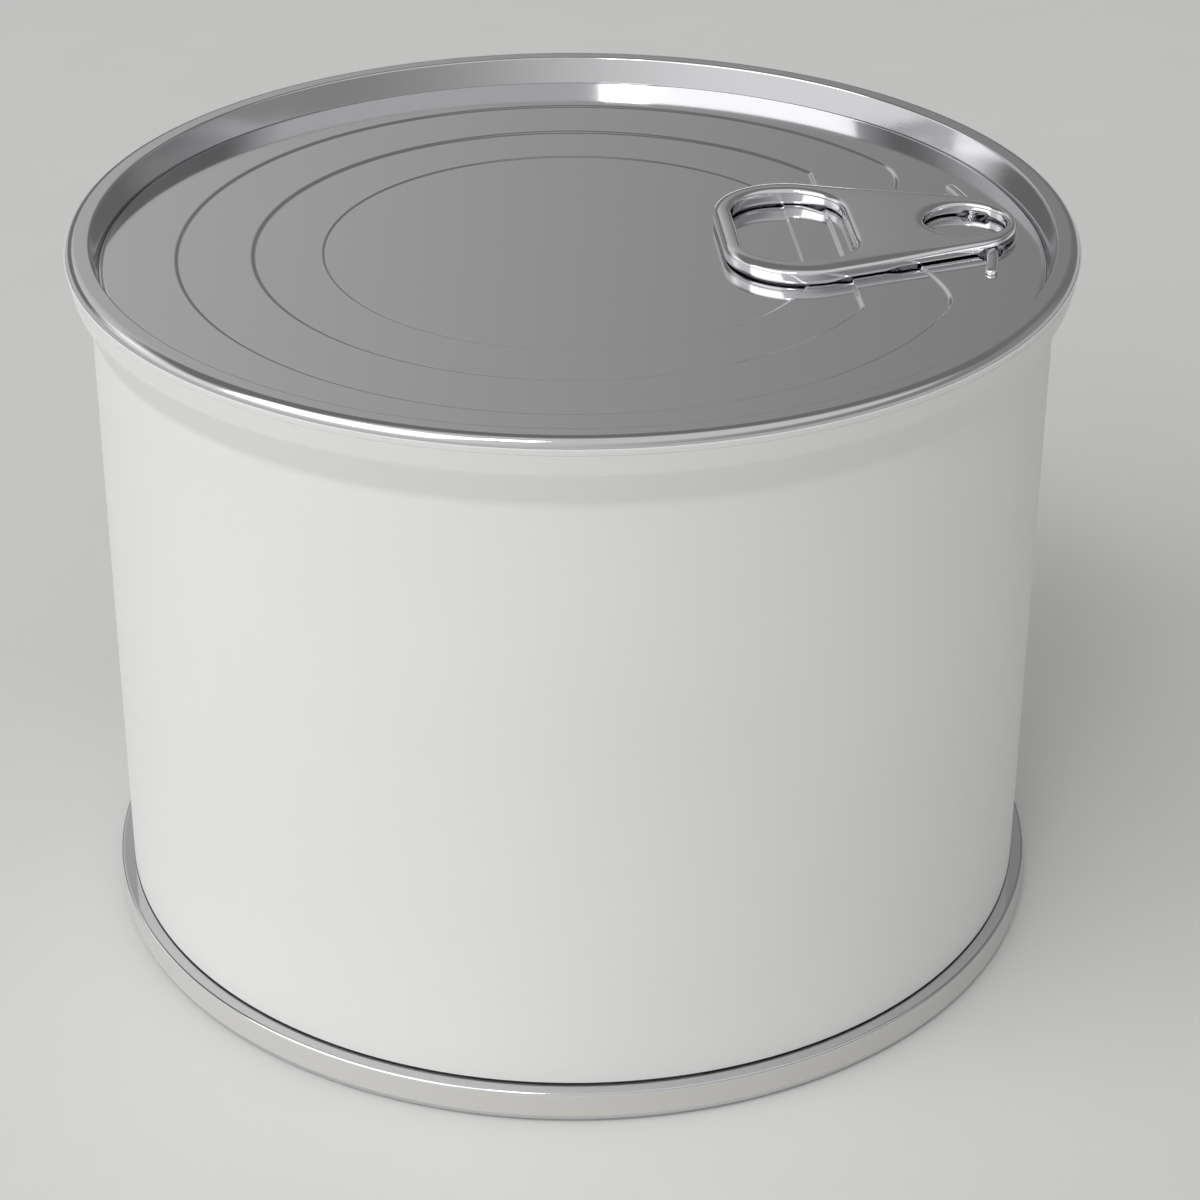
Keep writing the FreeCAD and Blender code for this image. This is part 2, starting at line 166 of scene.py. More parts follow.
def bent_outline(corners, hold=0.02):
    """Corners (radius, height, bend): each point p becomes the arc that touches both its sides.

    With a and b the unit directions to the neighbours and w half the angle between them, the arc's
    centre is p + bend / sin(w) along a + b, and it touches the sides bend / tan(w) from p.
    """
    corners = np.array(corners, float)
    spot, bend = corners[:, :2], corners[:, 2:3]
    back = np.roll(spot, 1, axis=0) - spot
    ahead = np.roll(spot, -1, axis=0) - spot
    back = back / np.linalg.norm(back, axis=1, keepdims=True)
    ahead = ahead / np.linalg.norm(ahead, axis=1, keepdims=True)
    half = np.arccos(np.clip((back * ahead).sum(axis=1, keepdims=True), -1, 1)) / 2
    middle = back + ahead
    middle = middle / np.linalg.norm(middle, axis=1, keepdims=True)
    centre = spot + middle * bend / np.sin(half)
    first = spot + back * bend / np.tan(half)
    last = spot + ahead * bend / np.tan(half)
    swing = np.pi - 2 * half
    share = np.linspace(0, 1, ARC_STEPS)[None, :, None]
    weights = (np.sin((1 - share) * swing[:, None]), np.sin(share * swing[:, None]))
    arc = (first - centre)[:, None] * weights[0] + (last - centre)[:, None] * weights[1]
    arc = centre[:, None] + arc / np.sin(swing)[:, None]
    before = (first + back * hold)[:, None]
    after = (last + ahead * hold)[:, None]
    return np.concatenate([before, arc, after], axis=1).reshape(-1, 2)


def turn(outline):
    """Each outline point (r, z) at each angle t becomes (r cos t, r sin t, z)."""
    angle = np.linspace(0, 2 * np.pi, TURN_STEPS, endpoint=False)
    across, height = outline[:, :1], outline[:, 1:]
    return np.stack([across * np.cos(angle), across * np.sin(angle),
                     height + 0 * angle], axis=2)


print("a bend has", ARC_STEPS + 2, "points, and a turn has", TURN_STEPS, "steps")

# %% [markdown]
# ## Finishes
#
# Tinplate is cold-rolled steel with a thin coat of tin, melted once so that it flows bright. It
# mirrors its surroundings, a little blurred, with very fine lines from the mill's rolls. A helper
# turns the usual hex colours to the linear values that a renderer needs, and another adds one node
# with its settings and links, so a material reads as a short list of steps.

# %% Colour and node helpers
def linear(hex_colour):
    """An sRGB hex colour as linear red, green, blue and alpha."""
    channels = [int(hex_colour[place:place + 2], 16) / 255 for place in (1, 3, 5)]
    return [part / 12.92 if part <= 0.04045 else ((part + 0.055) / 1.055) ** 2.4
            for part in channels] + [1.0]


def add_node(tree, kind, links=(), **settings):
    """Add a node. Settings name its inputs or its own properties; links are (input, source)."""
    node = tree.nodes.new(kind)
    for name, setting in settings.items():
        label = name.replace("_", " ")
        if hasattr(node, name):
            setattr(node, name, setting)
        else:
            node.inputs[label].default_value = setting
    for target, source in links:
        tree.links.new(source, node.inputs[target])
    return node


def new_material(name, **settings):
    """A material with one Principled shader, whose own sockets take the constant settings."""
    material = bpy.data.materials.new(name)
    material.use_nodes = True
    shader = material.node_tree.nodes["Principled BSDF"]
    for label, setting in settings.items():
        shader.inputs[label.replace("_", " ")].default_value = setting
    return material, material.node_tree, shader


# %% [markdown]
# ### Bright tinplate
#
# Two patterns make a flat mirror into metal. Roll lines run across the sheet, 0.15 mm apart and far
# longer than wide, so the noise is stretched over twenty times along them. Handling leaves soft
# patches some 12 mm across where the tin is a touch duller. Both read Object coordinates, which are
# metres. The lid and the tab are polished, and the tube is duller.

# %% Tinplate
def tinplate(name, colour, dull, line_height, lines=(60, 1400, 60)):
    """Metal whose roughness and bump follow fine roll lines and broad soft patches.

    The lines' height is in millimetres. lines says how far the pattern is squeezed along X, Y and
    Z: it is finest along the axis with the greatest number.
    """
    material, tree, shader = new_material(name, Metallic=1.0, Base_Color=linear(colour))
    place = add_node(tree, "ShaderNodeTexCoord")
    stretch = add_node(tree, "ShaderNodeMapping", [("Vector", place.outputs["Object"])],
                       Scale=lines)
    roll = add_node(tree, "ShaderNodeTexNoise", [("Vector", stretch.outputs["Vector"])],
                    Scale=5.0, Detail=3.0, Roughness=0.6)
    patch = add_node(tree, "ShaderNodeTexNoise", [("Vector", place.outputs["Object"])],
                     Scale=85.0, Detail=2.0)
    rough_roll = add_node(tree, "ShaderNodeMapRange", [("Value", roll.outputs["Fac"])],
                          To_Min=dull * 0.75, To_Max=dull * 1.25)
    rough_patch = add_node(tree, "ShaderNodeMapRange", [("Value", patch.outputs["Fac"])],
                           To_Min=-dull * 0.25, To_Max=dull * 0.35)
    total = add_node(tree, "ShaderNodeMath", [(0, rough_roll.outputs["Result"]),
                                              (1, rough_patch.outputs["Result"])],
                     operation="ADD")
    bump = add_node(tree, "ShaderNodeBump", [("Height", roll.outputs["Fac"])],
                    Strength=1.0, Distance=line_height * MM)
    tree.links.new(total.outputs["Value"], shader.inputs["Roughness"])
    tree.links.new(bump.outputs["Normal"], shader.inputs["Normal"])
    return material


LID_METAL = tinplate("bright_tinplate_lid", "#D6D6D8", dull=0.085, line_height=0.0003)
TAB_METAL = tinplate("bright_tinplate_tab", "#DEDEE0", dull=0.10, line_height=0.0008)
BODY_METAL = tinplate("bright_tinplate_body", "#D8D8DA", dull=0.34, line_height=0.001,
                      lines=(60, 60, 1400))
print("tinplate in three grades:", LID_METAL.name, TAB_METAL.name, BODY_METAL.name)

# %% [markdown]
# ### White matte film
#
# The sleeve is a matte white polymer film. It scatters light almost evenly, with a broad weak
# gloss. Film shrunk over metal keeps a faint orange-peel, bumps about 1.5 mm apart and a few
# thousandths of a millimetre high, and its white is very slightly uneven.

# %% Film
MIX_FIRST, MIX_SECOND, MIX_COLOUR = 6, 7, 2  # the colour sockets of a Mix node, after its others


def matte_white(name, warm, cool, dull):
    """A matte white with a faint grain of bumps and a slow drift between two near whites."""
    material, tree, shader = new_material(name, IOR=1.49, Roughness=dull)
    place = add_node(tree, "ShaderNodeTexCoord")
    peel = add_node(tree, "ShaderNodeTexNoise", [("Vector", place.outputs["Object"])],
                    Scale=700.0, Detail=4.0, Roughness=0.55)
    drift = add_node(tree, "ShaderNodeTexNoise", [("Vector", place.outputs["Object"])],
                     Scale=45.0, Detail=3.0)
    shade = add_node(tree, "ShaderNodeMix", [(0, drift.outputs["Fac"])], data_type="RGBA")
    shade.inputs[MIX_FIRST].default_value = linear(warm)
    shade.inputs[MIX_SECOND].default_value = linear(cool)
    rough = add_node(tree, "ShaderNodeMapRange", [("Value", peel.outputs["Fac"])],
                     To_Min=dull - 0.05, To_Max=dull + 0.05)
    bump = add_node(tree, "ShaderNodeBump", [("Height", peel.outputs["Fac"])],
                    Strength=0.5, Distance=0.004 * MM)
    tree.links.new(shade.outputs[MIX_COLOUR], shader.inputs["Base Color"])
    tree.links.new(rough.outputs["Result"], shader.inputs["Roughness"])
    tree.links.new(bump.outputs["Normal"], shader.inputs["Normal"])
    return material


FILM_WHITE = matte_white("matte_white_film", "#EBEAE8", "#E4E4E4", dull=0.55)
print("finishes so far:", ", ".join(finish.name for finish in bpy.data.materials))

# %% [markdown]
# ## The film sleeve
#
# The film stands on the straight body, widens in a short cone and ends on the outer wall of the top
# seam, where a fine groove runs round it. Its outline is a thin closed strip: down the inside, up
# the outside. Its foot hangs lower than the frame's, to just above the curl of the bottom seam.

# %% Film sleeve
OVERHANG = 2.10
CONE_DEPTH = 6.40
FOOT_HANG = 0.34
CREASE = 3.20
FILM_R = SEAM_R + FILM
BODY_R = FILM_R - OVERHANG
CONE_FOOT = RIM - CONE_DEPTH
FILM_TOP = RIM - film_high[2]
FILM_FOOT = film_low[2] - FOOT_HANG
GROOVE = 1.30
GROOVE_HALF = 0.05

film_inside = leaning([(SEAM_R, FILM_TOP, 0.02), (SEAM_R, CREASE, 0.60)])
film_outside = leaning([(FILM_R, CREASE, 1.80), (FILM_R, GROOVE + 2 * GROOVE_HALF, 0.03),
                        (FILM_R - GROOVE_HALF, GROOVE + GROOVE_HALF, 0.02),
                        (FILM_R, GROOVE, 0.03), (FILM_R, FILM_TOP, 0.07)])
sleeve_outline = bent_outline(
    hung(film_inside) + [(BODY_R - FILM, CONE_FOOT, 1.8), (BODY_R - FILM, FILM_FOOT, 0.02),
                         (BODY_R, FILM_FOOT, 0.06), (BODY_R, CONE_FOOT, 2.0)]
    + hung(film_outside))
sleeve = make_piece("white_sleeve", [turn(sleeve_outline)], wrap_rows=True)
sleeve.data.materials.append(FILM_WHITE)
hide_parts("film_sleeve")
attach(sleeve, "can")

# %% [markdown]
# ## The seamed ring of the lid
#
# A double seam is the lid's edge curled round the body's mouth and rolled flat. What shows is the
# flat top, the rounded shoulder that runs into the film, and inside, the sloping wall of the recess
# down to the tear-off panel. Under the panel a narrow ledge stands for the metal left by the score.

# %% Lid ring
SHEET = 0.30
GAP = 0.20
BODY_SHEET = 0.25
DRAFT = 0.65
LEDGE = 1.00

HOOK_OUT = SEAM_R - SHEET - 2 * GAP - BODY_SHEET
HOOK_IN = HOOK_OUT - SHEET
NECK_OUT = HOOK_IN - GAP
WALL_OUT = NECK_OUT - BODY_SHEET - GAP
RIM_IN = WALL_OUT - SHEET
WALL_FOOT = RIM_IN - DRAFT
LEDGE_IN = WALL_FOOT - LEDGE
PANEL_DEPTH = RIM - PANEL_Z
LEDGE_DEPTH = PANEL_DEPTH + SHEET
HOOK_TIP = 2 * SHEET + BODY_SHEET + GAP + 0.05
CURL_ROUND = 0.28

curl = [(HOOK_IN, HOOK_TIP, 0.05), (HOOK_IN, SEAM_HEIGHT, 0.06),
        (SEAM_R, SEAM_HEIGHT, CURL_ROUND), (SEAM_R, 0, SHOULDER), (RIM_IN, 0, 0.22)]
wall_top = [(WALL_OUT, SHEET, 0.1)]
curl_back = [(SEAM_R - SHEET, SHEET, SHOULDER - SHEET),
             (SEAM_R - SHEET, SEAM_HEIGHT - SHEET, 0.05),
             (HOOK_OUT, SEAM_HEIGHT - SHEET, 0.05), (HOOK_OUT, HOOK_TIP, 0.05)]

lid_wall = [(WALL_FOOT, LEDGE_DEPTH, 0.08), (LEDGE_IN, LEDGE_DEPTH, 0.05),
            (LEDGE_IN, LEDGE_DEPTH + SHEET, 0.05), (WALL_FOOT + SHEET, LEDGE_DEPTH + SHEET, 0.3)]
ring_section = hung(leaning(curl) + lid_wall + wall_top + leaning(curl_back))
lid_ring = make_piece("lid_seam_ring", [turn(bent_outline(ring_section))], wrap_rows=True)
lid_ring.data.materials.append(LID_METAL)
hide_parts("lid_ring")
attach(lid_ring, "can")

# %% [markdown]
# ## The bottom end and the tube
#
# The bottom end is the same seam upside down, with a whole disc inside it, and a bead pressed into
# the disc keeps it stiff. The outline is drawn a little past the axis and cut off there, and its
# first and last points merge into the two poles of the disc.

# %% Bottom end
BEAD_R = WALL_FOOT - 9.6
BEAD_RISE = 0.60
BEAD_FOOT_R = BEAD_R + 2 * BEAD_RISE
END_DEPTH = 2.30
FACE, BACK = END_DEPTH + BEAD_RISE, END_DEPTH + BEAD_RISE + SHEET
PAST_AXIS = -2.0
bottom_wall = [(WALL_FOOT, END_DEPTH, 0.3), (BEAD_FOOT_R, END_DEPTH, 0.9), (BEAD_R, FACE, 0.9)]
bottom_back = [(BEAD_R, BACK, 0.6), (BEAD_FOOT_R, END_DEPTH + SHEET, 0.6),
               (WALL_FOOT + SHEET, END_DEPTH + SHEET, 0.3)]
axis_stop = [(PAST_AXIS, FACE, 0.1), (PAST_AXIS, BACK, 0.1)]
bottom_outline = bent_outline(drawn_in(curl + bottom_wall + axis_stop + bottom_back
                                       + wall_top + curl_back))
past_axis = np.flatnonzero(bottom_outline[:, 0] < 0)
bottom_outline = np.roll(bottom_outline, -past_axis[-1] - 1, axis=0)[:-len(past_axis)]
bottom_outline = np.concatenate([[[0, BACK]], bottom_outline, [[0, FACE]]])
bottom = make_piece("bottom_end_skin", [turn(bottom_outline)])
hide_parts("bottom_end")
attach(bottom, "can")

# %% [markdown]
# The tube's mouths flare out and fold down over the ends' edges, inside the curls. The same hook,
# mirrored and drawn in, makes the fold at the bottom.

# %% Tube
HOOK_FOOT = SEAM_HEIGHT - SHEET - GAP
FOLD = SHEET + 0.35
SHELL_R = BODY_R - FILM
NECK_IN = NECK_OUT - BODY_SHEET
FOOT = SEAM_HEIGHT + 0.45
FOLD_IN = HOOK_OUT + GAP
FOLD_OUT = FOLD_IN + BODY_SHEET
hook = [(FOLD_IN, HOOK_FOOT, 0.04), (FOLD_OUT, HOOK_FOOT, 0.04), (FOLD_OUT, FOLD, 0.35),
        (NECK_IN, FOLD, 0.3), (NECK_IN, SEAM_HEIGHT, 0.2)]
hook_back = [(NECK_OUT, SEAM_HEIGHT, 0.2), (NECK_OUT, FOLD + BODY_SHEET, 0.05),
             (FOLD_IN, FOLD + BODY_SHEET, 0.05)]
shell_corners = (hung(leaning(hook))
                 + [(SHELL_R - BODY_SHEET, CONE_FOOT, 0.5), (SHELL_R - BODY_SHEET, FOOT, 0.2)]
                 + drawn_in(hook[::-1] + hook_back[::-1])
                 + [(SHELL_R, FOOT, 0.2), (SHELL_R, CONE_FOOT, 0.5)] + hung(leaning(hook_back)))
shell = make_piece("tinplate_tube", [turn(bent_outline(shell_corners))], wrap_rows=True)
shell.data.materials.append(BODY_METAL)
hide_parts("body_shell")
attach(shell, "can")

# %% [markdown]
# ## The tear-off panel
#
# The panel is a disc with three pressings, one inside another. Each is a circle cut by a straight
# side towards the tab, and each lowers what it encloses by a tenth or two of a millimetre. That is
# little, but on bright tin a slope of a few degrees already shows as a dark or light line. The grid
# follows those outlines, so each slope has its own rows of faces and stays crisp.

# %% Outline of a pressing
STEEP = 1e-3  # the smallest cosine at which a ray still meets the flat side


def ease(share):
    """Smooth step from 0 to 1: 3 s squared less 2 s cubed."""
    share = np.clip(share, 0, 1)
    return share * share * (3 - 2 * share)


def cut_circle(angle, radius, flat, corner):
    """Distance from the axis to a circle cut at x = flat, both joined by a corner arc.

    It is the lesser of radius and flat / cos(angle). Where the corner arc, centred at c, lies
    across the ray u, it is c . u + the root of corner squared less (c x u) squared.
    """
    straight = flat / np.maximum(np.cos(angle), STEEP)
    across = np.where(np.cos(angle) > STEEP, np.minimum(radius, straight), radius)
    centre_x = flat - corner
    centre_y = math.sqrt((radius - corner) ** 2 - centre_x ** 2)
    along = centre_x * np.cos(angle) + centre_y * np.abs(np.sin(angle))
    aside = centre_x * np.abs(np.sin(angle)) - centre_y * np.cos(angle)
    arc = along + np.sqrt(np.maximum(corner ** 2 - aside ** 2, 0))
    swing = np.abs(np.arctan2(np.sin(angle), np.cos(angle)))
    bent = (swing > math.atan2(centre_y, flat)) & (swing < math.atan2(centre_y, centre_x))
    return np.where(bent, arc, across)


NOSE_X = WALL_FOOT - 1.85
PRESSINGS = [  # radius, flat, corner, drop, width of the slope, dent
    (PANEL_R - 6.2, NOSE_X - 8.15, 7.0, 0.16, 0.36, 3.0),
    (PANEL_R - 12.7, NOSE_X - 15.65, 0.5, 0.18, 0.40, 0.0),
    (PANEL_R - 18.8, NOSE_X - 19.25, 0.5, 0.10, 0.22, 0.0)]
CUT_STEPS = 16
EVEN_STEPS = 480


def corner_angles(radius, flat, corner):
    """Extra angles, close together where the outline turns its corner."""
    spot = math.atan2(math.sqrt(radius ** 2 - flat ** 2), flat)
    spread = 2.2 * corner / radius
    return spot + np.linspace(-spread, spread, CUT_STEPS)


extra = np.concatenate([corner_angles(*pressing[:3]) for pressing in PRESSINGS])
regular = np.linspace(0, 2 * np.pi, EVEN_STEPS, endpoint=False)
panel_angle = np.unique(np.round(np.concatenate([regular, extra, 2 * np.pi - extra]), 6))
print(len(panel_angle), "columns round the panel")

# %% [markdown]
# Each slope is nine rows of points that ease from one level to the next. The largest pressing also
# gives way to the tab: its straight side is dented towards the middle of the lid, most on the line
# of the tab and not at all `DENT_HALF` away from it.

# %% Slopes of the pressings
PRESS_ROWS = 9
DENT_HALF = 13.5
TIGHTEST = 0.12


def press_rows(radius, flat, corner, drop, width, dent):
    """Rows across one slope: its outline shrinks evenly while its depth eases from 0 to 1.

    On the tab's side each row gives way by dent times the square of 1 - (y / DENT_HALF) squared.
    """
    share = np.linspace(-0.25, 1.25, PRESS_ROWS)
    lines = np.stack([cut_circle(panel_angle, radius - step, flat - step,
                                 max(corner - step, TIGHTEST)) for step in width * share])
    beside = np.clip(1 - (lines * np.sin(panel_angle) / DENT_HALF) ** 2, 0, 1)
    lines -= dent * beside ** 2 * (np.cos(panel_angle) > 0)
    return lines, drop * ease(share)


# %% Panel surface
EDGE_BEND = 0.06
edge_radius = PANEL_R - np.array([EDGE_BEND, 0.25, 0.6, 3.0])
rows = [np.repeat(edge_radius[:, None], len(panel_angle), axis=1)]
depths = [np.zeros(len(edge_radius))]
level = 0.0
for pressing in PRESSINGS:
    lines, fall = press_rows(*pressing)
    rows.append(lines)
    depths.append(level + fall)
    level = depths[-1][-1]
to_middle = np.array([0.75, 0.5, 0.25, 0.06, 0.0])
across = np.concatenate(rows + [rows[-1][-1] * to_middle[:, None]])
depth = np.concatenate(depths + [np.full(len(to_middle), level)])


def panel_sheet(lowered):
    """Height is the panel's level less the depth of each row, on rays from the axis."""
    height = np.repeat((PANEL_Z - depth - lowered)[:, None], across.shape[1], axis=1)
    return np.stack([across * np.cos(panel_angle), across * np.sin(panel_angle), height], axis=2)


def rim_row(radius, drop):
    """A plain circle of panel points, below the face by drop."""
    ring = np.stack([radius * np.cos(panel_angle), radius * np.sin(panel_angle),
                     0 * panel_angle + PANEL_Z - drop], axis=1)
    return ring[None]


panel_edge = np.concatenate([rim_row(PANEL_R, EDGE_BEND), rim_row(PANEL_R, SHEET - EDGE_BEND)])
whole = np.concatenate([panel_sheet(0)[::-1], panel_edge, panel_sheet(SHEET)])
panel = make_piece("tear_off_panel", [whole])
panel.data.materials.append(LID_METAL)
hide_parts("lid_panel")
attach(panel, "lid")

# %% [markdown]
# ## The bars beside the nose
#
# Two short beads stand up from the panel, one on each side of the tab's nose, along a circle near
# the rim. They keep the tab straight. Each is a half-round bead carried along an arc, and it tapers
# to nothing like the end of a sausage.

# %% Nose bars
BAR_R = NOSE_X - 2.75
BAR_WIDTH, BAR_HEIGHT = 1.07, 0.50
BAR_ENDS = np.radians([5.8, 16.0])
ALONG_STEPS, DOME_STEPS = 45, 17


def bead(side):
    """A bead: at each place along the arc, an oval dome with a flat foot.

    With w the half width, within w of an end it swells as root(1 - (1 - s / w) squared) at s from
    that end. At swing a the dome lies cos(a) to the power 0.7 aside, the sign kept, and sin(a) to
    the power 0.55 up, which is fuller than a half circle.
    """
    half = BAR_WIDTH / 2
    length = BAR_R * (BAR_ENDS[1] - BAR_ENDS[0])
    place = length * (1 - np.cos(np.linspace(0, np.pi, ALONG_STEPS))) / 2
    near = np.clip(np.minimum(place, length - place) / half, 0, 1)
    swell = np.sqrt(np.maximum(1 - (1 - near) ** 2, 0))[:, None]
    swing = np.linspace(0, np.pi, DOME_STEPS)[None, :]
    foot = np.linspace(-1, 1, 6)[None, 1:-1]
    wide = np.concatenate([np.sign(np.cos(swing)) * np.abs(np.cos(swing)) ** 0.7, foot], axis=1)
    high = np.concatenate([np.sin(swing) ** 0.55, 0 * foot], axis=1)
    radius = BAR_R + half * swell * wide
    angle = side * (BAR_ENDS[0] + place / BAR_R)[:, None]
    return np.stack([radius * np.cos(angle), radius * np.sin(angle),
                     PANEL_Z + BAR_HEIGHT * swell ** 0.6 * high], axis=2)


for name, side in (("left", 1), ("right", -1)):
    bar = make_piece("bead_" + name, [bead(side)])
    bar.data.materials.append(LID_METAL)
    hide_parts("nose_bar_" + name)
    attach(bar, "lid")

# %% [markdown]
# ## The pull tab
#
# The tab is one strip pressing: a finger ring, a flat web and a round nose with an eye. All its
# edges are rolled under, so that no raw edge touches a finger. It is made as a maker would roll it:
# a rounded edge profile is carried along the outside, round the finger hole and round the eye, and
# the flat face is filled in between.

# %% Belt round circles
def belt(circles, arc_points=40, line_points=12):
    """A belt drawn tight round circles (x, y, radius), listed anticlockwise.

    Each point is base + radius * normal. On a circle the base stays and the normal turns; on the
    straight between two circles the base and the radius change evenly and the normal stays.
    """
    count = len(circles)
    leave = []
    for index in range(count):
        x, y, radius = circles[index]
        far_x, far_y, far_radius = circles[(index + 1) % count]
        gap = math.hypot(far_x - x, far_y - y)
        turn_out = math.asin((radius - far_radius) / gap) if gap else 0.0
        leave.append(math.atan2(far_y - y, far_x - x) - math.pi / 2 + turn_out)
    bases, radii, angles = [], [], []
    for index in range(count):
        here, there = np.array(circles[index]), np.array(circles[(index + 1) % count])
        swing = (leave[index] - leave[index - 1]) % (2 * math.pi) or 2 * math.pi
        turned_by = np.linspace(0, swing, arc_points, endpoint=count > 1)
        share = np.linspace(0, 1, line_points + 2)[1:-1] if count > 1 else np.zeros(0)
        path = np.concatenate([np.repeat(here[None], arc_points, axis=0),
                               here + (there - here) * share[:, None]])
        bases.append(path[:, :2])
        radii.append(path[:, 2])
        angles.append(np.concatenate([leave[index - 1] + turned_by,
                                      np.full(len(share), leave[index])]))
    angle = np.concatenate(angles)
    normal = np.stack([np.cos(angle), np.sin(angle)], axis=1)
    return np.concatenate(bases), np.concatenate(radii)[:, None], normal


# %% [markdown]
# The outside is a belt round the nose circle and two tail circles, the finger hole is one round
# four corner circles, and the eye is a circle by itself.

# %% Outlines of the tab
TAB_FOOT, TAB_TOP = tab_low[2], tab_high[2]
TAIL_SHORT = 0.35
TAIL = tab_low[0] + TAIL_SHORT
NOSE_R, TAIL_R, TAIL_X, TAIL_Y = 5.85, 6.5, TAIL + 6.5, 3.7
EYE_X, EYE_R = tab_high[0] - 4.5, 3.6
FINGER_X, FINGER_LONG, FINGER_HALF, FINGER_R = TAIL + 1.55, 9.8, 8.0, 4.5
outside = belt([(NOSE_X - NOSE_R, 0, NOSE_R), (TAIL_X, TAIL_Y, TAIL_R),
                (TAIL_X, -TAIL_Y, TAIL_R)], 64, 60)
far, near = FINGER_X + FINGER_LONG - FINGER_R, FINGER_X + FINGER_R
reach_y = FINGER_HALF - FINGER_R
finger = belt([(far, reach_y, FINGER_R), (near, reach_y, FINGER_R),
               (near, -reach_y, FINGER_R), (far, -reach_y, FINGER_R)], 32, 10)
eye = belt([(EYE_X, 0, EYE_R)], 120)
print("tab outline has", len(outside[0]), "points")

# %% [markdown]
# The profile of a rolled edge goes from the flat face over the roll, down the side and a little way
# in underneath. Near the nose there is less metal between eye and edge, so the roll is narrower
# there. Beside the nose the underside is lifted, which leaves room for the two beads. Behind it the
# underside follows the lid down over the first two pressings, so that no wide gap shows below.

# %% Rolled edges
TAIL_ROLL = 0.86
SIDE_ROLL = 1.25
NOSE_ROLL = 0.45
FINGER_ROLL = 0.58
EYE_ROLL = 0.40
WEB_SIDE_ROLL = 0.95
EYE_TURN = 0.4
OUT_FALL, FINGER_FALL, EYE_FALL = 0.52, 0.50, 0.38
SIDE_FROM, SIDE_LONG = 12.6, 4.0
NOSE_FROM, NOSE_LONG = 24.0, 10.0
UNDER_ROLL, HOLE_UNDER = 0.24, 0.20
NOTCH = NOSE_X - 3.92, NOSE_X - 2.06
NOTCH_RISE = 0.40
NOTCH_SLOPE = 0.25
WEB_DROP, WEB_DROP_X, WEB_DROP_LONG = 0.20, NOSE_X - 11.35, 1.5
RING_DROP, RING_DROP_X, RING_DROP_LONG = 0.20, NOSE_X - 15.75, 2.0
PROFILE_STEPS = 12


def shape_underside(points):
    """Raise the underside between the two notch lines and let it follow the pressings down.

    Each move is a smooth step along x, or for the notch the product of two. All fade out towards
    mid height, so the face on top stays flat.
    """
    x, height = points[..., 0], points[..., 2]
    window = (ease((x - NOTCH[0]) / NOTCH_SLOPE + 1)
              * ease((NOTCH[1] - x) / NOTCH_SLOPE + 1))
    drop = (WEB_DROP * ease((WEB_DROP_X - x) / WEB_DROP_LONG)
            + RING_DROP * ease((RING_DROP_X - x) / RING_DROP_LONG))
    half = (TAB_TOP - TAB_FOOT) / 2
    weight = np.clip((TAB_FOOT + half - height) / half, 0, 1)
    points[..., 2] += (NOTCH_RISE * window - drop) * weight
    return points


def rolled_edge(line, over, under, over_drop, under_drop, inward):
    """Carry a rolled profile along a belt line.

    Over the top, the point at swing a lies over * (1 - sin a) in from the edge and
    over_drop * (1 - cos a) below the face; underneath it is the same with the under sizes.
    """
    base, radius, normal = line
    swing = np.linspace(0, np.pi / 2, PROFILE_STEPS)[:, None]
    top_in = over[None, :] * (1 - np.sin(swing))
    top_z = TAB_TOP - over_drop * (1 - np.cos(swing)) + 0 * top_in
    low_in = under[None, :] * (1 - np.sin(swing[::-1]))
    low_z = TAB_FOOT + under_drop * (1 - np.cos(swing[::-1])) + 0 * low_in
    aside = np.concatenate([top_in, low_in]) * (-1 if inward else 1)
    height = np.concatenate([top_z, low_z])
    flat = base[None] + (radius[None] + aside[..., None]) * normal[None]
    return shape_underside(np.concatenate([flat, height[..., None]], axis=2))


def even(line, width):
    """The same width at every point of a belt line."""
    return np.full(len(line[0]), width)


outline_x = (outside[0] + outside[1] * outside[2])[:, 0]
roll_width = (TAIL_ROLL + (SIDE_ROLL - TAIL_ROLL) * ease((outline_x - SIDE_FROM) / SIDE_LONG)
              + (NOSE_ROLL - SIDE_ROLL) * ease((outline_x - NOSE_FROM) / NOSE_LONG))
towards_web = ease((EYE_TURN - eye[2][:, 0]) / (1 + EYE_TURN))
eye_roll = EYE_ROLL + (WEB_SIDE_ROLL - EYE_ROLL) * towards_web
edges = [rolled_edge(outside, roll_width, even(outside, UNDER_ROLL), OUT_FALL, UNDER_ROLL, True),
         rolled_edge(finger, even(finger, FINGER_ROLL), even(finger, HOLE_UNDER), FINGER_FALL,
                     HOLE_UNDER, False),
         rolled_edge(eye, eye_roll, even(eye, HOLE_UNDER), EYE_FALL, HOLE_UNDER, False)]
print(f"roll from {roll_width.min():.2f} to {roll_width.max():.2f} mm wide")

# %% [markdown]
# Under the web the pressing is hollow, which leaves a sheet of half a millimetre. Its wall is
# another belt. Flat fills between the belts then close the face, the hollow's roof and the
# underside.

# %% Hollow under the web
WEB = 0.50
LAND = 1.5
FLANK = 0.08
lean = math.atan2(TAIL_Y, NOSE_X - NOSE_R - TAIL_X) + math.asin(
    (TAIL_R - NOSE_R) / math.hypot(NOSE_X - NOSE_R - TAIL_X, TAIL_Y))
WEB_R = 0.6
web_back = FINGER_X + FINGER_LONG + LAND + WEB_R
web_front = EYE_X - EYE_R - LAND - WEB_R


def web_side(x):
    """Half width of the hollow where its corner circles are centred at x.

    The tab's side leans by an angle t. The half width is the nose's radius less the land and the
    corner, less sin t times how far x is ahead of the nose circle's centre, all over cos t.
    """
    return (NOSE_R - LAND - WEB_R - (x - NOSE_X + NOSE_R) * math.sin(lean)) / math.cos(lean)


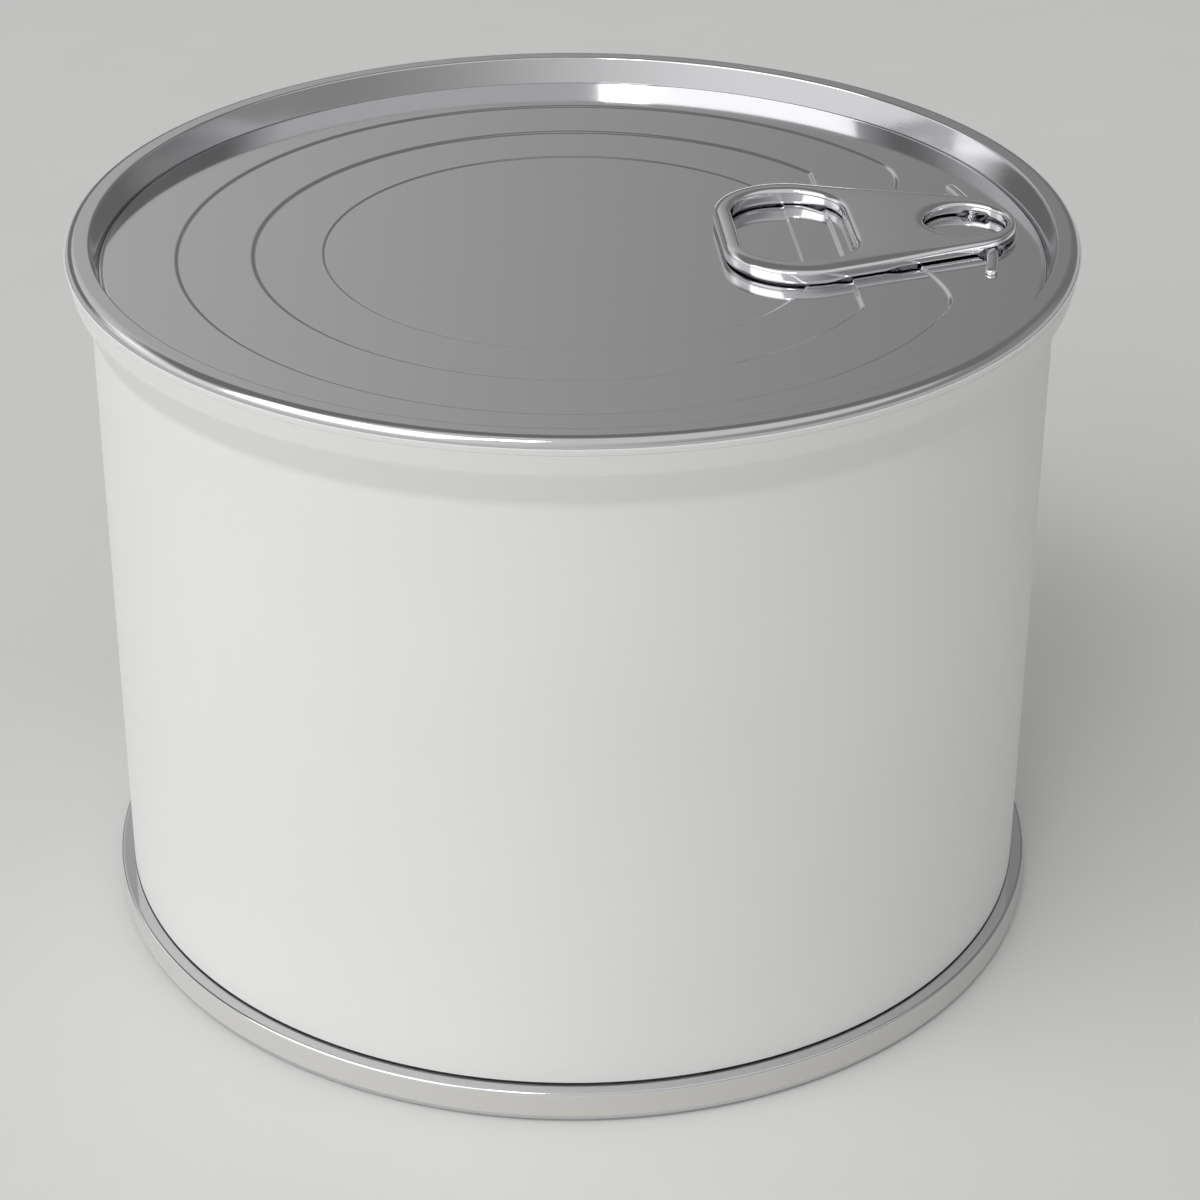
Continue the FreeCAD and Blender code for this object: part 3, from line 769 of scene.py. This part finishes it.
hollow = belt([(web_front, web_side(web_front), WEB_R), (web_back, web_side(web_back), WEB_R),
               (web_back, -web_side(web_back), WEB_R), (web_front, -web_side(web_front), WEB_R)],
              12, 12)
hollow_line = hollow[0] + hollow[1] * hollow[2]
hollow_levels = TAB_FOOT, TAB_FOOT + FLANK, TAB_TOP - WEB - FLANK, TAB_TOP - WEB
hollow_wall = np.stack([np.c_[hollow_line, np.full(len(hollow_line), level)]
                        for level in hollow_levels])
print(f"hollow from {web_back - WEB_R:.1f} to {web_front + WEB_R:.1f} mm along the tab")

# %% Assemble the tab
SLACK = 0.01
tab = make_piece("pull_tab_skin", edges + [shape_underside(hollow_wall)])
shape = bmesh.new()
shape.from_mesh(tab.data)
open_edges = [edge for edge in shape.edges if edge.is_boundary]
fills = [(TAB_TOP, SLACK), (TAB_TOP - WEB, SLACK), (TAB_FOOT, NOTCH_RISE + 2 * SLACK)]
for level, slack in fills:
    loops = [edge for edge in open_edges
             if all(abs(corner.co.z / MM - level) < slack for corner in edge.verts)]
    bmesh.ops.triangle_fill(shape, use_beauty=True, edges=loops, normal=(0, 0, 1))
bmesh.ops.recalc_face_normals(shape, faces=shape.faces)
for face in shape.faces:
    face.smooth = True
print("tab:", len(shape.faces), "faces,",
      sum(1 for edge in shape.edges if not edge.is_manifold), "open edges")
shape.to_mesh(tab.data)
shape.free()
tab.data.materials.append(TAB_METAL)
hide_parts("pull_tab")
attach(tab, "tab")

# %% [markdown]
# ## The bottom seam's white band
#
# The outside of the bottom seam is enamelled white, like the film above it. The enamel is a zone of
# the same sheet, so the bottom end's metal is mixed with a white coat where the surface lies on the
# outer wall: far from the axis and between two heights.

# %% Enamelled tinplate
SOFT_SIDE, SOFT_END = 0.06, 0.04


def enamelled(name, metal, low, high, radius):
    """Copy a metal and lay white enamel over it between two heights, outside a radius."""
    material = metal.copy()
    material.name = name
    tree = material.node_tree
    output = next(node for node in tree.nodes if node.type == "OUTPUT_MATERIAL")
    bare = tree.nodes["Principled BSDF"]
    coat = add_node(tree, "ShaderNodeBsdfPrincipled", Base_Color=linear("#CBCAC7"), IOR=1.5)
    place = add_node(tree, "ShaderNodeTexCoord")
    split = add_node(tree, "ShaderNodeSeparateXYZ", [("Vector", place.outputs["Object"])])
    flat = add_node(tree, "ShaderNodeCombineXYZ", [("X", split.outputs["X"]),
                                                   ("Y", split.outputs["Y"])])
    across = add_node(tree, "ShaderNodeVectorMath", [(0, flat.outputs["Vector"])],
                      operation="LENGTH")
    speck = add_node(tree, "ShaderNodeTexNoise", [("Vector", place.outputs["Object"])],
                     Scale=900.0, Detail=3.0)
    rough = add_node(tree, "ShaderNodeMapRange", [("Value", speck.outputs["Fac"])],
                     To_Min=0.42, To_Max=0.56)
    tree.links.new(rough.outputs["Result"], coat.inputs["Roughness"])
    masks = []
    for source, start, end in ((across.outputs["Value"], radius - 2 * SOFT_SIDE, radius - SOFT_SIDE),
                               (split.outputs["Z"], low, low + SOFT_END),
                               (split.outputs["Z"], high, high - SOFT_END)):
        mask = add_node(tree, "ShaderNodeMapRange", [("Value", source)],
                        From_Min=start * MM, From_Max=end * MM)
        masks.append(mask.outputs["Result"])
    both = add_node(tree, "ShaderNodeMath", [(0, masks[0]), (1, masks[1])], operation="MULTIPLY")
    all_three = add_node(tree, "ShaderNodeMath", [(0, both.outputs["Value"]), (1, masks[2])],
                         operation="MULTIPLY")
    mix = add_node(tree, "ShaderNodeMixShader", [("Fac", all_three.outputs["Value"]),
                                                 (1, bare.outputs["BSDF"]),
                                                 (2, coat.outputs["BSDF"])])
    tree.links.new(mix.outputs["Shader"], output.inputs["Surface"])
    return material


END_METAL = enamelled("enamelled_tinplate_end", LID_METAL, low=0.75, high=2.95,
                      radius=SEAM_R - INSET)
bottom.data.materials.append(END_METAL)
print(END_METAL.name, "has", len(END_METAL.node_tree.nodes), "nodes")

# %% [markdown]
# ## What lies inside
#
# The rubbery sealing compound in both seams and the lacquer stripe over the side weld keep the
# shapes they have in the frame. Only their finishes are set here.

# %% Seals and lacquer
def soft_finish(name, colour, deep, dull, grain):
    """A dull, slightly mottled coat whose two tones mix by noise of a given grain in mm."""
    material, tree, shader = new_material(name, IOR=1.5)
    place = add_node(tree, "ShaderNodeTexCoord")
    noise = add_node(tree, "ShaderNodeTexNoise", [("Vector", place.outputs["Object"])],
                     Scale=1000.0 / grain, Detail=3.0)
    tone = add_node(tree, "ShaderNodeMix", [(0, noise.outputs["Fac"])], data_type="RGBA")
    tone.inputs[MIX_FIRST].default_value = linear(colour)
    tone.inputs[MIX_SECOND].default_value = linear(deep)
    rough = add_node(tree, "ShaderNodeMapRange", [("Value", noise.outputs["Fac"])],
                     To_Min=dull - 0.08, To_Max=dull + 0.08)
    bump = add_node(tree, "ShaderNodeBump", [("Height", noise.outputs["Fac"])],
                    Strength=0.6, Distance=0.01 * MM)
    tree.links.new(tone.outputs[MIX_COLOUR], shader.inputs["Base Color"])
    tree.links.new(rough.outputs["Result"], shader.inputs["Roughness"])
    tree.links.new(bump.outputs["Normal"], shader.inputs["Normal"])
    return material


COMPOUND = soft_finish("sealing_compound", "#8C8478", "#6E675D", dull=0.7, grain=1.2)
LACQUER = soft_finish("gold_lacquer", "#B99A55", "#A88945", dull=0.32, grain=2.5)
for node, finish in (("top_seal", COMPOUND), ("bottom_seal", COMPOUND), ("weld_stripe", LACQUER)):
    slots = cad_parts[node].data.materials
    slots.clear()
    slots.append(finish)
    print(node, "is finished in", finish.name)

# %% [markdown]
# ## Floor, light and camera
#
# A pale matte sheet of paper carries the can. Bright tin shows little of itself and much of the
# room, so the light is built as what the tin should mirror. The white film needs light that falls
# on it, from a big soft box at the front left.

# %% Floor
FLOOR_HALF = 12.0
floor_mesh = bpy.data.meshes.new("paper_floor")
corners = np.array([(-1, -1, 0), (1, -1, 0), (1, 1, 0), (-1, 1, 0)]) * FLOOR_HALF
floor_mesh.from_pydata(corners.tolist(), [], [(0, 1, 2, 3)])
floor = bpy.data.objects.new("paper_floor", floor_mesh)
bpy.context.collection.objects.link(floor)
floor.data.materials.append(matte_white("pale_paper", "#E6E5E3", "#E0E0DF", dull=0.9))

# %% [markdown]
# The room is dark but for three soft cards. One stands behind, from the table's edge up, and fades
# to the right. One lies low, all round but the back, and is bright on the left. One hangs high in
# front. A card is a product of fades: each takes one part of the direction, X to the right, Y to
# the back or Z up, and goes smoothly from one brightness to another between two values of it.

# %% Room
ROOM_DARK = 0.20
TABLE_EDGE = math.sin(math.radians(18.3))
CARDS = [  # fades: part of the direction, start, end, brightness at the start and at the end
    [("X", -0.45, 0.45, 0.49, 0.0), ("Z", TABLE_EDGE - 0.02, TABLE_EDGE, 0.0, 1.0),
     ("Z", 0.52, 0.66, 1.0, 0.0), ("Y", 0.2, 0.5, 0.0, 1.0)],
    [("X", -0.9, 0.9, 0.74, 0.10), ("Z", 0.38, 0.60, 1.0, 0.0), ("Y", 0.72, 0.45, 0.0, 1.0)],
    [("Z", 0.38, 0.60, 0.0, 1.0), ("Y", 0.25, -0.1, 0.0, 0.52)]]

world = bpy.data.worlds.new("studio_room")
bpy.context.scene.world = world
world.use_nodes = True
tree = world.node_tree
background = tree.nodes["Background"]
place = add_node(tree, "ShaderNodeTexCoord")
direction = add_node(tree, "ShaderNodeSeparateXYZ", [("Vector", place.outputs["Generated"])])
cards = []
for fades in CARDS:
    ramps = [add_node(tree, "ShaderNodeMapRange", [("Value", direction.outputs[part])],
                      interpolation_type="SMOOTHSTEP", From_Min=start, From_Max=end,
                      To_Min=first, To_Max=last).outputs["Result"]
             for part, start, end, first, last in fades]
    card = ramps[0]
    for ramp in ramps[1:]:
        card = add_node(tree, "ShaderNodeMath", [(0, card), (1, ramp)],
                        operation="MULTIPLY").outputs["Value"]
    cards.append(card)
glow = cards[0]
for card in cards[1:]:
    glow = add_node(tree, "ShaderNodeMath", [(0, glow), (1, card)],
                    operation="ADD").outputs["Value"]
room = add_node(tree, "ShaderNodeMath", [(0, glow)], operation="ADD")
room.inputs[1].default_value = ROOM_DARK
tree.links.new(room.outputs["Value"], background.inputs["Color"])
background.inputs["Strength"].default_value = 1.0
print("room has", len(tree.nodes), "nodes")


# %% Soft lights
def soft_box(name, spot, aim, width, height, watts):
    """A rectangular light, sizes in metres, turned from its spot towards its aim."""
    light = bpy.data.lights.new(name, "AREA")
    light.shape = "RECTANGLE"
    light.size, light.size_y = width, height
    light.energy = watts
    lamp = bpy.data.objects.new(name, light)
    lamp.location = spot
    lamp.rotation_euler = (Vector(aim) - Vector(spot)).to_track_quat("-Z", "Y").to_euler()
    bpy.context.collection.objects.link(lamp)
    return lamp


middle = (0.0, 0.0, RIM / 2 * MM)
soft_box("key_front_left", (-1.15, -0.70, 1.05), middle, width=1.6, height=1.4, watts=9.0)
soft_box("top_card_front", (-0.33, -0.86, 1.22), middle, width=0.24, height=0.34, watts=2.0)
print("lights:", ", ".join(light.name for light in bpy.data.lights))

# %% [markdown]
# The camera looks down on the lid by some 29 degrees, from a little under 0.3 m away, through a
# lens about twice as long as a standard one.

# %% Camera
LENS, SENSOR, SIDE_SHIFT = 93.45, 36.0, 0.0229
CAMERA_SPOT = -0.01918, -0.24930, 0.16576
TILT, PAN = math.radians(60.896), math.radians(-4.4)
lens = bpy.data.cameras.new("camera")
lens.lens, lens.sensor_width, lens.shift_x = LENS, SENSOR, SIDE_SHIFT
lens.clip_start, lens.clip_end = 0.01, 20.0
camera = bpy.data.objects.new("camera", lens)
camera.location = CAMERA_SPOT
camera.rotation_euler = (TILT, 0, PAN)
bpy.context.collection.objects.link(camera)
bpy.context.scene.camera = camera
bpy.context.scene.view_settings.view_transform = "Standard"
